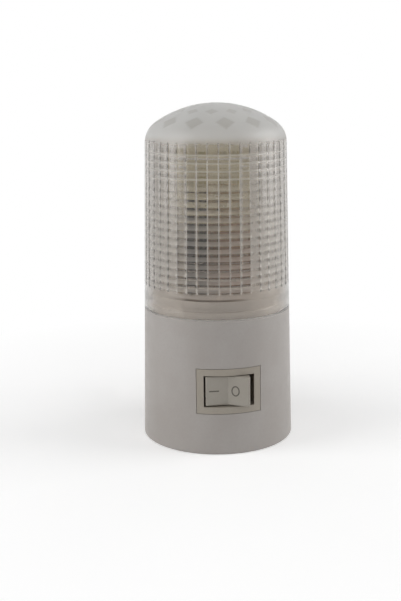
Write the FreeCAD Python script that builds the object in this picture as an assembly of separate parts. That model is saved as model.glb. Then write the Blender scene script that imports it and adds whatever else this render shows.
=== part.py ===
import FreeCAD, Part
import math
import os

os.makedirs("parts", exist_ok=True)

V = FreeCAD.Vector
Z_AXIS = V(0, 0, 1)

# All sizes are in millimetres and all angles in degrees.
# Pieces are drawn in the lamp's own frame: its axis on Z, the underside at z = 0, the front at -Y.
# save() then moves them so that the centre of the plug's face, against the wall socket, is the origin.

# Outer form: a slightly tapered round body with a flat back and a low dome
BODY_DIAMETER = 36.0
SIDE_TAPER = 1.27
SHOULDER_HEIGHT = 31.4
LAMP_HEIGHT = 79.1
DOME_HEIGHT = 9.1
DOME_SHOULDER = 5.8
FLAT_BACK = 12.0
CORNER_RADIUS = 0.8
UNDERSIDE_RADIUS = 0.5
RIM_RADIUS = 0.25

# General clearances
FIT = 0.1
CLOSE_FIT = 0.05
SHAFT_FIT = 0.03
CUT = 1.0

# Base shell and rear cover
SHELL_WALL = 2.0
SHELL_FLOOR = 2.0
COVER_THICKNESS = 2.0
COVER_LIP = 1.0
COVER_LIP_DEPTH = 1.5
COVER_LIP_TOP_GAP = 3.6
POST_WIDTH = 5.6
POST_DEPTH = 4.3

# Cover screws
SCREW_DIAMETER = 2.0
SCREW_HEAD_DIAMETER = 4.0
SCREW_HEAD_HEIGHT = 1.1
SCREW_SHANK = 4.8
SCREW_SINK = 1.25
SCREW_SLOT = 0.6
SCREW_SLOT_LENGTH = 2.4
SCREW_HEAD_ROUND = 0.35
SCREW_EDGE_GAP = 4.4

# Plug
BOSS_INSET = 5.2
BOSS_HEIGHT = 13.7
BOSS_DEPTH = 8.0
BOSS_WALL = 1.8
BOSS_EDGE_RADIUS = 1.0
PIN_INSET = 8.5
PIN_DIAMETER = 4.0
PIN_CORE_DIAMETER = 3.0
PIN_LENGTH = 19.0
PIN_TIP_RADIUS = 1.2
PIN_SOCKET_WALL = 1.6
SLEEVE_DIAMETER = 3.6
SLEEVE_LENGTH = 10.0
SLEEVE_SEAT = 3.0
PIN_INNER_END = 2.4
RETAINER_DIAMETER = 4.6
RETAINER_THICKNESS = 0.8
TERMINAL_BLOCK = 3.6
TERMINAL_DEPTH = 3.2

# Lamp deck, which closes the base and carries the lens cover
NECK_HEIGHT = 4.2
DECK_THICKNESS = 1.8
SPIGOT_DEPTH = 2.5
SPIGOT_WALL = 1.2
LUG_DROP = 7.9
SNAP_HEIGHT = 2.2
SNAP_DEPTH = 0.25
SNAP_WIDTH = 0.8

# Lens cover
LENS_WALL = 1.5
SKIRT_HEIGHT = 6.0
FLUTE_STEP = 8.4
FLUTE_PHASE = 1.2
FLUTE_DEPTH = 0.3
FLUTE_WIDTH = 0.9
FLUTE_OVERRUN = 1.0
RING_COUNT = 18
RING_DEPTH = 0.3
RING_TOP_GAP = 0.92
DIAMOND_COUNT = 12
DIAMOND_DEPTH = 0.3
LOWER_DIAMONDS_OUT = 13.2
LOWER_DIAMOND_SIDE = 3.3
UPPER_DIAMONDS_OUT = 8.8
UPPER_DIAMOND_SIDE = 2.3

# Circuit board, standing in the deck's slot
BOARD_WIDTH = 17.2
BOARD_THICKNESS = 1.6
BOARD_BEHIND_AXIS = 4.0
BOARD_TOP_GAP = 9.1
BOARD_CORNER = 5.0
TAIL_WIDTH = 9.2
TAIL_DROP = 5.4

# Components on the board. A _SHARE is how far up it something is, from the deck to its top,
# and FILM_LIFT and LEAD_GAP are measured up from the deck.
LED_WIDTH = 2.8
LED_LENGTH = 3.5
LED_THICKNESS = 0.8
LED_WINDOW = 1.1
LED_WINDOW_DEPTH = 0.3
LED_COLUMN = 3.8
LED_LOWER_SHARE = 0.637
LED_UPPER_SHARE = 0.826
FILM_WIDTH = 9.0
FILM_THICKNESS = 4.5
FILM_X = 3.6
FILM_LIFT = 0.8
FILM_TOP_SHARE = 0.317
FILM_ROUND = 0.8
ELCO_DIAMETER = 4.4
ELCO_X = -5.2
ELCO_TOP_SHARE = 0.52
ELCO_EDGE = 0.5
ELCO_LEAD_SPACING = 2.5
RESISTOR_DIAMETER = 2.3
RESISTOR_WAIST = 1.9
RESISTOR_LENGTH = 6.2
RESISTOR_CAP = 1.3
RESISTOR_CAP_ROUND = 0.32
SERIES_SHARE = 0.512
BLEED_SHARE = 0.401
RESISTOR_X = 2.6
LEAD_DIAMETER = 0.5
LEAD_REACH = 1.0
LEAD_GAP = 0.15
BRIDGE_WIDTH = 4.7
BRIDGE_HEIGHT = 3.8
BRIDGE_THICKNESS = 2.5
BRIDGE_ROUND = 0.4
BRIDGE_SHARE = 0.302

# Rocker switch
SWITCH_HEIGHT = 15.03
FRAME_WIDTH = 15.0
FRAME_HEIGHT = 10.7
FRAME_RECESS = 1.0
HOUSING_WIDTH = 13.2
HOUSING_HEIGHT = 9.1
HOUSING_DEPTH = 9.07
OPENING_WIDTH = 11.7
OPENING_HEIGHT = 7.4
SNAP_TAB = 0.6
SNAP_TAB_LENGTH = 1.5
SNAP_TAB_HEIGHT = 4.0
ROCKER_LENGTH = 10.4
ROCKER_HEIGHT = 7.0
ROCKER_TILT = 13.0
PIVOT_DEPTH = 2.0
PIVOT_TO_VALLEY = 1.2
PIVOT_DIAMETER = 1.5
PIVOT_REACH = 0.85
ROCKER_ROUND = 0.35
ROCKER_WAIST = 0.6
ROCKER_KEEL = 0.95
MARK_DEPTH = 0.15
MARK_SINK = 0.02
MARK_LINE = 0.32
DASH_LENGTH = 2.3
DASH_X = -3.2
RING_MARK_WIDTH = 2.0
RING_MARK_HEIGHT = 2.5
RING_MARK_X = 1.8

# Switch mechanism
PLUNGER_DIAMETER = 1.5
PLUNGER_BORE_FIT = 0.1
PLUNGER_TIP = 3.5
PLUNGER_TOP = 0.9
PLUNGER_BORE_TOP = 0.3
GUIDE_BOTTOM = 2.4
GUIDE_DIAMETER = 3.0
SPRING_WALL = 0.25
LEVER_DROP = 3.82
LEVER_TILT = 8.0
LEVER_LENGTH = 8.0
LEVER_WIDTH = 2.4
LEVER_THICKNESS = 0.35
LEVER_EAR = 0.35
LEVER_EAR_DEPTH = 1.1
LEVER_EAR_LENGTH = 1.4
FULCRUM_GAP = 0.08
CONTACT_X = 3.2
CONTACT_DIAMETER = 1.2
CONTACT_THICKNESS = 0.45
CONTACT_GAP = 0.16
SWITCH_BASE_THICKNESS = 1.2
TERMINAL_STEM = 0.9
TERMINAL_STEM_HEIGHT = 2.0
TERMINAL_STRIP = 0.4
TAB_WIDTH = 2.4
TAB_THICKNESS = 0.5
TAB_LENGTH = 3.8
END_TERMINAL_X = 3.4

# Internal leads
WIRE_DIAMETER = 1.2
WIRE_BEND_SHARE = 0.45
LIVE_WIRE_DROP = 7.9
BOARD_WIRE_DROP = 2.4

# Sizes worked out from the ones above
TAN_TAPER = math.tan(math.radians(SIDE_TAPER))
SEAM = FLAT_BACK - COVER_THICKNESS
PLUG_FACE = FLAT_BACK + BOSS_DEPTH
PLUG_HEIGHT = SHOULDER_HEIGHT / 2
BOSS_WIDTH = BODY_DIAMETER - 2 * BOSS_INSET
PIN_SPACING = BODY_DIAMETER - 2 * PIN_INSET
NECK_INSET = LENS_WALL + FIT
NECK_TOP = SHOULDER_HEIGHT + NECK_HEIGHT
DECK_BOTTOM = NECK_TOP - DECK_THICKNESS
DOME_START = LAMP_HEIGHT - DOME_HEIGHT
PRISM_START = SHOULDER_HEIGHT + SKIRT_HEIGHT
RING_TOP = DOME_START - RING_TOP_GAP
RING_PITCH = (RING_TOP - PRISM_START) / RING_COUNT
BOARD_TOP = LAMP_HEIGHT - BOARD_TOP_GAP
BOARD_FRONT = BOARD_BEHIND_AXIS - BOARD_THICKNESS / 2
BOARD_BACK = BOARD_BEHIND_AXIS + BOARD_THICKNESS / 2
SCREW_HEIGHTS = (SCREW_EDGE_GAP, SHOULDER_HEIGHT - SCREW_EDGE_GAP)
LIVE_WIRE_TOP = SHOULDER_HEIGHT - LIVE_WIRE_DROP
BOARD_WIRE_HEIGHT = SHOULDER_HEIGHT - BOARD_WIRE_DROP


def radius_at(z, inset=0.0):
    return BODY_DIAMETER / 2 - z * TAN_TAPER - inset


def up_board(share):
    return NECK_TOP + share * (BOARD_TOP - NECK_TOP)


SWITCH_RADIUS = radius_at(SWITCH_HEIGHT)
PIVOT_Y = PIVOT_DEPTH - SWITCH_RADIUS
LEVER_Y = PIVOT_Y + LEVER_DROP
HOUSING_BACK = SWITCH_RADIUS - HOUSING_DEPTH
SWITCH_BASE_FRONT = -HOUSING_BACK - SWITCH_BASE_THICKNESS
TAB_END = -HOUSING_BACK + TAB_LENGTH
WIRE_TAB_Y = TAB_END - WIRE_DIAMETER / 2 - FIT
ELCO_BOTTOM = NECK_TOP + LEAD_GAP + LEAD_DIAMETER / 2 + LEAD_REACH
SERIES_HEIGHT = up_board(SERIES_SHARE)
BLEED_HEIGHT = up_board(BLEED_SHARE)


# Basic shapes


def box(x0, x1, y0, y1, z0, z1):
    return Part.makeBox(x1 - x0, y1 - y0, z1 - z0, V(x0, y0, z0))


def bar(width, y0, y1, z0, z1, x=0.0):
    return box(x - width / 2, x + width / 2, y0, y1, z0, z1)


def cone(inset, z0, z1):
    return Part.makeCone(radius_at(z0, inset), radius_at(z1, inset), z1 - z0, V(0, 0, z0))


def rod(radius, x, z, y0, y1):
    return Part.makeCylinder(radius, y1 - y0, V(x, y0, z), V(0, 1, 0))


def behind(y, z0, z1):
    return box(-BODY_DIAMETER, BODY_DIAMETER, y, 2 * BODY_DIAMETER, z0, z1)


def flat_backed(inset, z0, z1):
    return cone(inset, z0, z1).cut(behind(FLAT_BACK - inset, z0 - CUT, z1 + CUT))


def prism(points, base_z, height):
    corners = [V(x, y, base_z) for x, y in points]
    face = Part.Face(Part.makePolygon(corners + corners[:1]))
    return face.extrude(V(0, 0, height))


def stadium(width, height, y0, y1):
    half = height / 2
    centre = width / 2 - half
    middle = bar(2 * centre, y0, y1, PLUG_HEIGHT - half, PLUG_HEIGHT + half)
    ends = [rod(half, side * centre, PLUG_HEIGHT, y0, y1) for side in (-1, 1)]
    return middle.fuse(ends).removeSplitter()


def rounded(shape, radius, chosen):
    return shape.makeFillet(radius, [edge for edge in shape.Edges if chosen(edge)])


def joined(shape, pieces):
    return shape.fuse(pieces).removeSplitter()


def save(name, shape):
    moved = shape.copy()
    moved.translate(V(0, -PLUG_FACE, -PLUG_HEIGHT))
    solids = moved.Solids
    out = solids[0] if len(solids) == 1 else Part.makeCompound(solids)
    print(name, len(solids), "solids", round(out.Volume, 3), "mm3", "valid" if out.isValid() else "INVALID")
    out.exportStep("parts/" + name + ".step")


# Base


def base_form():
    """The outside of the base: shell and rear cover together."""
    form = flat_backed(0.0, 0.0, SHOULDER_HEIGHT)
    form = rounded(form, CORNER_RADIUS, is_back_corner(FLAT_BACK))
    form = rounded(form, UNDERSIDE_RADIUS, lambda e: e.BoundBox.ZMax < UNDERSIDE_RADIUS / 2)
    return rounded(form, RIM_RADIUS, lambda e: e.BoundBox.ZMin > SHOULDER_HEIGHT - RIM_RADIUS / 2)


def is_back_corner(y):
    def test(edge):
        limits = edge.BoundBox
        off_middle = abs(limits.Center.x) > CORNER_RADIUS
        return limits.ZLength > CORNER_RADIUS and limits.YMin > y - CORNER_RADIUS and off_middle
    return test


def screw_hole(z, y0, y1, fit):
    return rod(SCREW_DIAMETER / 2 + fit, 0, z, y0, y1)


def switch_window():
    low = SWITCH_HEIGHT - FRAME_HEIGHT / 2
    high = SWITCH_HEIGHT + FRAME_HEIGHT / 2
    ring = cone(-CUT, low, high).cut(cone(FRAME_RECESS, low - CUT, high + CUT))
    recess = ring.common(bar(FRAME_WIDTH, -BODY_DIAMETER, 0, low, high))
    half = HOUSING_HEIGHT / 2 + FIT
    hole = bar(HOUSING_WIDTH + 2 * FIT, -BODY_DIAMETER, 0, SWITCH_HEIGHT - half, SWITCH_HEIGHT + half)
    return recess, hole


def front_shell():
    shell = base_form().cut(behind(SEAM, -CUT, SHOULDER_HEIGHT + CUT))
    shell = shell.cut(cone(SHELL_WALL, SHELL_FLOOR, SHOULDER_HEIGHT + CUT))
    shell = shell.cut(list(switch_window()))
    post = bar(POST_WIDTH, SEAM - POST_DEPTH, SEAM, SHELL_FLOOR - CUT, SCREW_HEIGHTS[0] + POST_WIDTH / 2)
    shell = joined(shell, [post])
    hole = screw_hole(SCREW_HEIGHTS[0], SEAM - POST_DEPTH - CUT, SEAM + CUT, CLOSE_FIT)
    return shell.cut(hole)


def pin_sites():
    return [(side * PIN_SPACING / 2, name) for side, name in ((-1, "live"), (1, "neutral"))]


def cover_lip():
    top = SHOULDER_HEIGHT - COVER_LIP_TOP_GAP
    bottom = SHELL_FLOOR + FIT
    inset = SHELL_WALL + FIT
    ring = cone(inset, bottom, top).cut(cone(inset + COVER_LIP, bottom - CUT, top + CUT))
    lip = ring.common(bar(BODY_DIAMETER, SEAM - COVER_LIP_DEPTH, SEAM + CUT, bottom, top))
    half = RETAINER_DIAMETER / 2 + CUT
    return lip.cut(bar(BODY_DIAMETER, SEAM - COVER_LIP_DEPTH - CUT, SEAM, PLUG_HEIGHT - half, PLUG_HEIGHT + half))


def rear_cover():
    cover = base_form().common(behind(SEAM, -CUT, SHOULDER_HEIGHT + CUT))
    boss = stadium(BOSS_WIDTH, BOSS_HEIGHT, FLAT_BACK - CUT, PLUG_FACE)
    boss = rounded(boss, BOSS_EDGE_RADIUS, lambda e: e.BoundBox.YMin > PLUG_FACE - CLOSE_FIT)
    cover = joined(cover, [boss, cover_lip()])
    hollow = stadium(BOSS_WIDTH - 2 * BOSS_WALL, BOSS_HEIGHT - 2 * BOSS_WALL, SEAM - CUT, PLUG_FACE - BOSS_WALL)
    cover = cover.cut(hollow)
    pillar_radius = SLEEVE_DIAMETER / 2 + PIN_SOCKET_WALL
    pillars = [rod(pillar_radius, x, PLUG_HEIGHT, SEAM, PLUG_FACE - BOSS_WALL / 2) for x, _ in pin_sites()]
    pillars = [p.common(stadium(BOSS_WIDTH - BOSS_WALL, BOSS_HEIGHT - BOSS_WALL, SEAM, PLUG_FACE)) for p in pillars]
    cover = joined(cover, pillars)
    holes = []
    for x, _ in pin_sites():
        holes.append(rod(PIN_CORE_DIAMETER / 2 + SHAFT_FIT, x, PLUG_HEIGHT, SEAM - CUT, PLUG_FACE + CUT))
        holes.append(rod(SLEEVE_DIAMETER / 2 + SHAFT_FIT, x, PLUG_HEIGHT, PLUG_FACE - SLEEVE_SEAT, PLUG_FACE + CUT))
    for z in SCREW_HEIGHTS:
        holes.append(screw_hole(z, SEAM - CUT, FLAT_BACK + CUT, FIT))
        holes.append(rod(SCREW_HEAD_DIAMETER / 2 + FIT, 0, z, FLAT_BACK - SCREW_SINK, FLAT_BACK + CUT))
    return cover.cut(holes)


def cover_screw(z):
    seat = FLAT_BACK - SCREW_SINK
    head = rod(SCREW_HEAD_DIAMETER / 2, 0, z, seat, seat + SCREW_HEAD_HEIGHT)
    top = seat + SCREW_HEAD_HEIGHT
    head = rounded(head, SCREW_HEAD_ROUND, lambda e: e.BoundBox.YMin > top - CLOSE_FIT)
    screw = joined(head, [rod(SCREW_DIAMETER / 2, 0, z, seat - SCREW_SHANK, seat)])
    half = SCREW_SLOT_LENGTH / 2
    across = bar(2 * half, top - SCREW_SLOT, top + CUT, z - SCREW_SLOT / 2, z + SCREW_SLOT / 2)
    upright = bar(SCREW_SLOT, top - SCREW_SLOT, top + CUT, z - half, z + half)
    return screw.cut([across, upright])


# Plug


def plug_pin(x):
    sleeve_end = PLUG_FACE - SLEEVE_SEAT + SLEEVE_LENGTH
    tip = PLUG_FACE + PIN_LENGTH
    head = rod(PIN_DIAMETER / 2, x, PLUG_HEIGHT, sleeve_end, tip)
    head = rounded(head, PIN_TIP_RADIUS, lambda e: e.BoundBox.YMin > tip - CLOSE_FIT)
    return joined(head, [rod(PIN_CORE_DIAMETER / 2, x, PLUG_HEIGHT, PIN_INNER_END, sleeve_end)])


def tube(outer, inner, x, y0, y1):
    hole = rod(inner, x, PLUG_HEIGHT, y0 - CUT, y1 + CUT)
    return rod(outer, x, PLUG_HEIGHT, y0, y1).cut(hole)


def pin_sleeve(x):
    start = PLUG_FACE - SLEEVE_SEAT
    bore = PIN_CORE_DIAMETER / 2 + SHAFT_FIT
    return tube(SLEEVE_DIAMETER / 2, bore, x, start, start + SLEEVE_LENGTH)


def pin_retainer(x):
    bore = PIN_CORE_DIAMETER / 2 + SHAFT_FIT
    return tube(RETAINER_DIAMETER / 2, bore, x, SEAM - RETAINER_THICKNESS, SEAM)


def pin_terminal(x):
    half = TERMINAL_BLOCK / 2
    block = bar(TERMINAL_BLOCK, PIN_INNER_END, PIN_INNER_END + TERMINAL_DEPTH, PLUG_HEIGHT - half, PLUG_HEIGHT + half, x)
    bore = PIN_CORE_DIAMETER / 2 + SHAFT_FIT
    return block.cut(rod(bore, x, PLUG_HEIGHT, PIN_INNER_END - CUT, PIN_INNER_END + TERMINAL_DEPTH + CUT))


# Lamp deck


def lamp_deck():
    neck = flat_backed(NECK_INSET, SHOULDER_HEIGHT, NECK_TOP)
    spigot_bottom = SHOULDER_HEIGHT - SPIGOT_DEPTH
    spigot = cone(SHELL_WALL + FIT, spigot_bottom, SHOULDER_HEIGHT)
    spigot = spigot.cut(behind(SEAM - FIT, spigot_bottom - CUT, SHOULDER_HEIGHT + CUT))
    deck = joined(neck, [spigot])
    core = cone(SHELL_WALL + FIT + SPIGOT_WALL, spigot_bottom - CUT, DECK_BOTTOM)
    core = core.cut(behind(SEAM - FIT - SPIGOT_WALL, spigot_bottom - 2 * CUT, NECK_TOP))
    deck = deck.cut(core)
    lug_bottom = SHOULDER_HEIGHT - LUG_DROP
    lug = bar(POST_WIDTH, SEAM - POST_DEPTH, SEAM - FIT, lug_bottom, DECK_BOTTOM + DECK_THICKNESS / 2)
    deck = joined(deck, [lug])
    slot = bar(TAIL_WIDTH + 2 * FIT, BOARD_FRONT - FIT, BOARD_BACK + FIT, DECK_BOTTOM - CUT, NECK_TOP + CUT)
    hole = screw_hole(SCREW_HEIGHTS[1], SEAM - POST_DEPTH - CUT, SEAM + CUT, CLOSE_FIT)
    groove = snap_ring(NECK_INSET - CUT, NECK_INSET + SNAP_DEPTH + FIT, SNAP_WIDTH / 2 + FIT)
    return deck.cut([slot, hole, groove])


def snap_ring(outer_inset, inner_inset, half_width):
    z = SHOULDER_HEIGHT + SNAP_HEIGHT
    ring = cone(outer_inset, z - half_width, z + half_width)
    ring = ring.cut(cone(inner_inset, z - half_width - CUT, z + half_width + CUT))
    return ring.cut(behind(SEAM - SNAP_WIDTH, 0, NECK_TOP + CUT))


# Lens cover


def dome_centres():
    """The dome is a shoulder arc that runs into a flatter crown arc: their centres (x, z) and the crown's radius."""
    rim = radius_at(DOME_START)
    rise = LAMP_HEIGHT - DOME_START
    crown = (rim ** 2 + rise ** 2 - 2 * rim * DOME_SHOULDER) / (2 * (rise - DOME_SHOULDER))
    return V(rim - DOME_SHOULDER, 0, DOME_START), V(0, 0, LAMP_HEIGHT - crown), crown


def dome_edges(inset):
    """The dome's half outline, from its rim up to the axis, moved in by inset."""
    shoulder_centre, crown_centre, crown = dome_centres()
    shoulder = DOME_SHOULDER - inset
    crown -= inset
    toward = (shoulder_centre - crown_centre).normalize()
    meeting = crown_centre + toward * crown
    lift = math.atan2(toward.z, toward.x)

    def on_arc(centre, radius, angle):
        return centre + V(math.cos(angle), 0, math.sin(angle)) * radius
    halfway = on_arc(shoulder_centre, shoulder, lift / 2)
    crown_halfway = on_arc(crown_centre, crown, (lift + math.pi / 2) / 2)
    first = Part.Arc(shoulder_centre + V(shoulder, 0, 0), halfway, meeting)
    second = Part.Arc(meeting, crown_halfway, crown_centre + V(0, 0, crown))
    return [first.toShape(), second.toShape()]


def dome_point(out):
    """The dome's outer point at this distance from the axis, and its outward normal, in the XZ plane."""
    shoulder_centre, centre, radius = dome_centres()
    toward = (shoulder_centre - centre).normalize()
    if out > (centre + toward * radius).x:
        centre, radius = shoulder_centre, DOME_SHOULDER
    lift = math.acos((out - centre.x) / radius)
    normal = V(math.cos(lift), 0, math.sin(lift))
    return centre + normal * radius, normal


def revolve(edges):
    face = Part.Face(Part.Wire(Part.__sortEdges__(edges)))
    return face.revolve(V(0, 0, 0), Z_AXIS, 360)


def line(x0, z0, x1, z1):
    return Part.makeLine(V(x0, 0, z0), V(x1, 0, z1))


def lens_outside():
    foot = radius_at(SHOULDER_HEIGHT)
    rim = radius_at(DOME_START)
    edges = [
        line(0, SHOULDER_HEIGHT, foot, SHOULDER_HEIGHT),
        line(foot, SHOULDER_HEIGHT, rim, DOME_START),
        line(0, LAMP_HEIGHT, 0, SHOULDER_HEIGHT),
    ]
    form = revolve(edges + dome_edges(0.0)).cut(behind(FLAT_BACK, 0, LAMP_HEIGHT + CUT))
    return rounded(form, CORNER_RADIUS, is_back_corner(FLAT_BACK))


def ring_bulges():
    """Rounded ribs around the inside of the wall, one above the other, bulging towards the axis."""
    edges = []
    for row in range(RING_COUNT):
        low = PRISM_START + row * RING_PITCH
        high = low + RING_PITCH
        middle = (low + high) / 2
        points = [V(radius_at(z, LENS_WALL + depth), 0, z) for z, depth in
                  ((low, 0), (middle, RING_DEPTH), (high, 0))]
        edges.append(Part.Arc(*points).toShape())
    return edges


def lens_inside():
    bottom = SHOULDER_HEIGHT - CUT
    rim = radius_at(DOME_START, LENS_WALL)
    top = LAMP_HEIGHT - LENS_WALL
    edges = [
        line(0, bottom, radius_at(bottom, LENS_WALL), bottom),
        line(radius_at(bottom, LENS_WALL), bottom, radius_at(PRISM_START, LENS_WALL), PRISM_START),
        line(radius_at(RING_TOP, LENS_WALL), RING_TOP, rim, DOME_START),
        line(0, top, 0, bottom),
    ]
    return revolve(edges + ring_bulges() + dome_edges(LENS_WALL)).cut(behind(FLAT_BACK - LENS_WALL, 0, LAMP_HEIGHT + CUT))


def flute(angle):
    """A V groove down the outside wall, leaning with the taper."""
    turn = math.radians(angle)
    outward = V(math.sin(turn), -math.cos(turn), 0)
    across = V(math.cos(turn), math.sin(turn), 0)
    top = DOME_START + FLUTE_OVERRUN
    half = FLUTE_WIDTH / 2 * (1 + CUT / FLUTE_DEPTH)

    def section(z):
        floor = outward * radius_at(z, FLUTE_DEPTH) + V(0, 0, z)
        mouth = outward * radius_at(z, -CUT) + V(0, 0, z)
        return Part.makePolygon([floor, mouth + across * half, mouth - across * half, floor])
    return Part.makeLoft([section(PRISM_START), section(top)], True, True)


def flute_angles():
    limit = 180 - math.degrees(math.acos((FLAT_BACK + CUT) / radius_at(PRISM_START)))
    steps = int(limit / FLUTE_STEP)
    angles = [FLUTE_PHASE + FLUTE_STEP * k for k in range(-steps - 1, steps + 2)]
    return [a for a in angles if abs(a) < limit]


def diamond(angle, out, side):
    """A shallow square pocket in the dome, standing on its corner, at this distance from the axis."""
    point, normal = dome_point(out)
    pocket = Part.makeBox(side, side, DIAMOND_DEPTH + CUT, V(-side / 2, -side / 2, -DIAMOND_DEPTH))
    pocket.rotate(V(0, 0, 0), Z_AXIS, 45)
    pocket.rotate(V(0, 0, 0), V(0, 1, 0), math.degrees(math.atan2(normal.x, normal.z)))
    pocket.translate(point)
    pocket.rotate(V(0, 0, 0), Z_AXIS, angle - 90)
    return pocket


def dome_diamonds():
    step = 360 / DIAMOND_COUNT
    rows = ((LOWER_DIAMONDS_OUT, LOWER_DIAMOND_SIDE, 0.0), (UPPER_DIAMONDS_OUT, UPPER_DIAMOND_SIDE, step / 2))
    pockets = []
    for out, side, offset in rows:
        for k in range(DIAMOND_COUNT):
            angle = offset + k * step
            back = -out * math.cos(math.radians(angle))
            if back + side + CORNER_RADIUS < FLAT_BACK:
                pockets.append(diamond(angle, out, side))
    return pockets


def lens_cover():
    lens = lens_outside().cut(lens_inside())
    lens = lens.cut([flute(a) for a in flute_angles()])
    lens = lens.cut(dome_diamonds())
    return joined(lens, [snap_ring(LENS_WALL / 2, LENS_WALL + SNAP_DEPTH, SNAP_WIDTH / 2)])


# Circuit board and its components


def circuit_board():
    board = bar(BOARD_WIDTH, BOARD_FRONT, BOARD_BACK, NECK_TOP, BOARD_TOP)
    board = rounded(board, BOARD_CORNER, lambda e: e.BoundBox.ZMin > BOARD_TOP - FIT and e.BoundBox.XLength < FIT)
    return joined(board, [bar(TAIL_WIDTH, BOARD_FRONT, BOARD_BACK, SHOULDER_HEIGHT - TAIL_DROP, NECK_TOP)])


def led_sites():
    return [(side * LED_COLUMN, up_board(share)) for share in (LED_LOWER_SHARE, LED_UPPER_SHARE) for side in (-1, 1)]


def led_body(x, z):
    face = BOARD_FRONT - LED_THICKNESS
    body = bar(LED_LENGTH, face, BOARD_FRONT, z - LED_WIDTH / 2, z + LED_WIDTH / 2, x)
    return body.cut(rod(LED_WINDOW, x, z, face - CUT, face + LED_WINDOW_DEPTH))


def led_window(x, z):
    face = BOARD_FRONT - LED_THICKNESS
    return rod(LED_WINDOW, x, z, face + CLOSE_FIT, face + LED_WINDOW_DEPTH)


def film_capacitor():
    low, high = NECK_TOP + FILM_LIFT, up_board(FILM_TOP_SHARE)
    body = bar(FILM_WIDTH, BOARD_FRONT - FILM_THICKNESS, BOARD_FRONT, low, high, FILM_X)
    return rounded(body, FILM_ROUND, lambda e: e.BoundBox.YMax < BOARD_FRONT - FIT)


def electrolytic_capacitor():
    y = BOARD_FRONT - ELCO_DIAMETER / 2 - CLOSE_FIT
    length = up_board(ELCO_TOP_SHARE) - ELCO_BOTTOM
    can = Part.makeCylinder(ELCO_DIAMETER / 2, length, V(ELCO_X, y, ELCO_BOTTOM), Z_AXIS)
    return can.makeFillet(ELCO_EDGE, [e for e in can.Edges if e.BoundBox.ZLength < FIT])


def resistor(z):
    y = BOARD_FRONT - RESISTOR_DIAMETER / 2 - CLOSE_FIT
    start = RESISTOR_X - RESISTOR_LENGTH / 2
    body = Part.makeCylinder(RESISTOR_WAIST / 2, RESISTOR_LENGTH, V(start, y, z), V(1, 0, 0))
    caps = []
    for x in (start, start + RESISTOR_LENGTH - RESISTOR_CAP):
        cap = Part.makeCylinder(RESISTOR_DIAMETER / 2, RESISTOR_CAP, V(x, y, z), V(1, 0, 0))
        caps.append(cap.makeFillet(RESISTOR_CAP_ROUND, [e for e in cap.Edges if e.BoundBox.XLength < FIT]))
    return joined(body, caps)


def bent_lead(start, bend, end):
    """A thin component lead with one square bend."""
    r = LEAD_DIAMETER / 2
    first = bend - start
    second = end - bend
    legs = [Part.makeCylinder(r, first.Length, start, first), Part.makeCylinder(r, second.Length, bend, second)]
    return joined(legs[0], [legs[1], Part.makeSphere(r, bend)])


def component_leads():
    leads = []
    y = BOARD_FRONT - ELCO_DIAMETER / 2 - CLOSE_FIT
    for x in (ELCO_X - ELCO_LEAD_SPACING / 2, ELCO_X + ELCO_LEAD_SPACING / 2):
        low = V(x, y, ELCO_BOTTOM - LEAD_REACH)
        leads.append(bent_lead(V(x, y, ELCO_BOTTOM), low, V(x, BOARD_FRONT, low.z)))
    y = BOARD_FRONT - RESISTOR_DIAMETER / 2 - CLOSE_FIT
    for z in (SERIES_HEIGHT, BLEED_HEIGHT):
        for side in (-1, 1):
            inner = RESISTOR_X + side * RESISTOR_LENGTH / 2
            outer = V(inner + side * LEAD_REACH / 2, y, z)
            leads.append(bent_lead(V(inner, y, z), outer, V(outer.x, BOARD_FRONT, z)))
    return Part.makeCompound(leads)


def bridge_rectifier():
    low = up_board(BRIDGE_SHARE) - BRIDGE_HEIGHT / 2
    body = bar(BRIDGE_WIDTH, BOARD_BACK, BOARD_BACK + BRIDGE_THICKNESS, low, low + BRIDGE_HEIGHT)
    return rounded(body, BRIDGE_ROUND, lambda e: e.BoundBox.YMin > BOARD_BACK + FIT)


# Rocker switch


def switch_housing():
    low = SWITCH_HEIGHT - FRAME_HEIGHT / 2 + FIT
    high = SWITCH_HEIGHT + FRAME_HEIGHT / 2 - FIT
    frame = cone(0.0, low, high).cut(cone(FRAME_RECESS - CLOSE_FIT, low - CUT, high + CUT))
    frame = frame.common(bar(FRAME_WIDTH - 2 * FIT, -BODY_DIAMETER, 0, low, high))
    half = HOUSING_HEIGHT / 2
    body = bar(HOUSING_WIDTH, -BODY_DIAMETER, -HOUSING_BACK, SWITCH_HEIGHT - half, SWITCH_HEIGHT + half)
    body = body.common(cone(FRAME_RECESS / 2, SWITCH_HEIGHT - half - CUT, SWITCH_HEIGHT + half + CUT))
    housing = joined(frame, [body] + snap_tabs())
    half = OPENING_HEIGHT / 2
    opening = bar(OPENING_WIDTH, -BODY_DIAMETER, 0, SWITCH_HEIGHT - half, SWITCH_HEIGHT + half)
    radius = PIVOT_DIAMETER / 2 + CLOSE_FIT
    length = HOUSING_HEIGHT + 2 * CUT
    pivot = Part.makeCylinder(radius, length, V(0, PIVOT_Y, SWITCH_HEIGHT - length / 2), Z_AXIS)
    return housing.cut([opening, pivot])


def snap_tabs():
    """Two small wedges that catch behind the shell's wall."""
    reach = HOUSING_WIDTH / 2 + SNAP_TAB
    top = SWITCH_HEIGHT + SNAP_TAB_HEIGHT / 2
    front = FIT - math.sqrt(radius_at(top, SHELL_WALL) ** 2 - reach ** 2)
    root = HOUSING_WIDTH / 2 - FIT
    points = [(root, front), (reach, front), (root, front + SNAP_TAB_LENGTH)]
    wedges = []
    for side in (-1, 1):
        wedges.append(prism([(side * x, y) for x, y in points], top - SNAP_TAB_HEIGHT, SNAP_TAB_HEIGHT))
    return wedges


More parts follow.
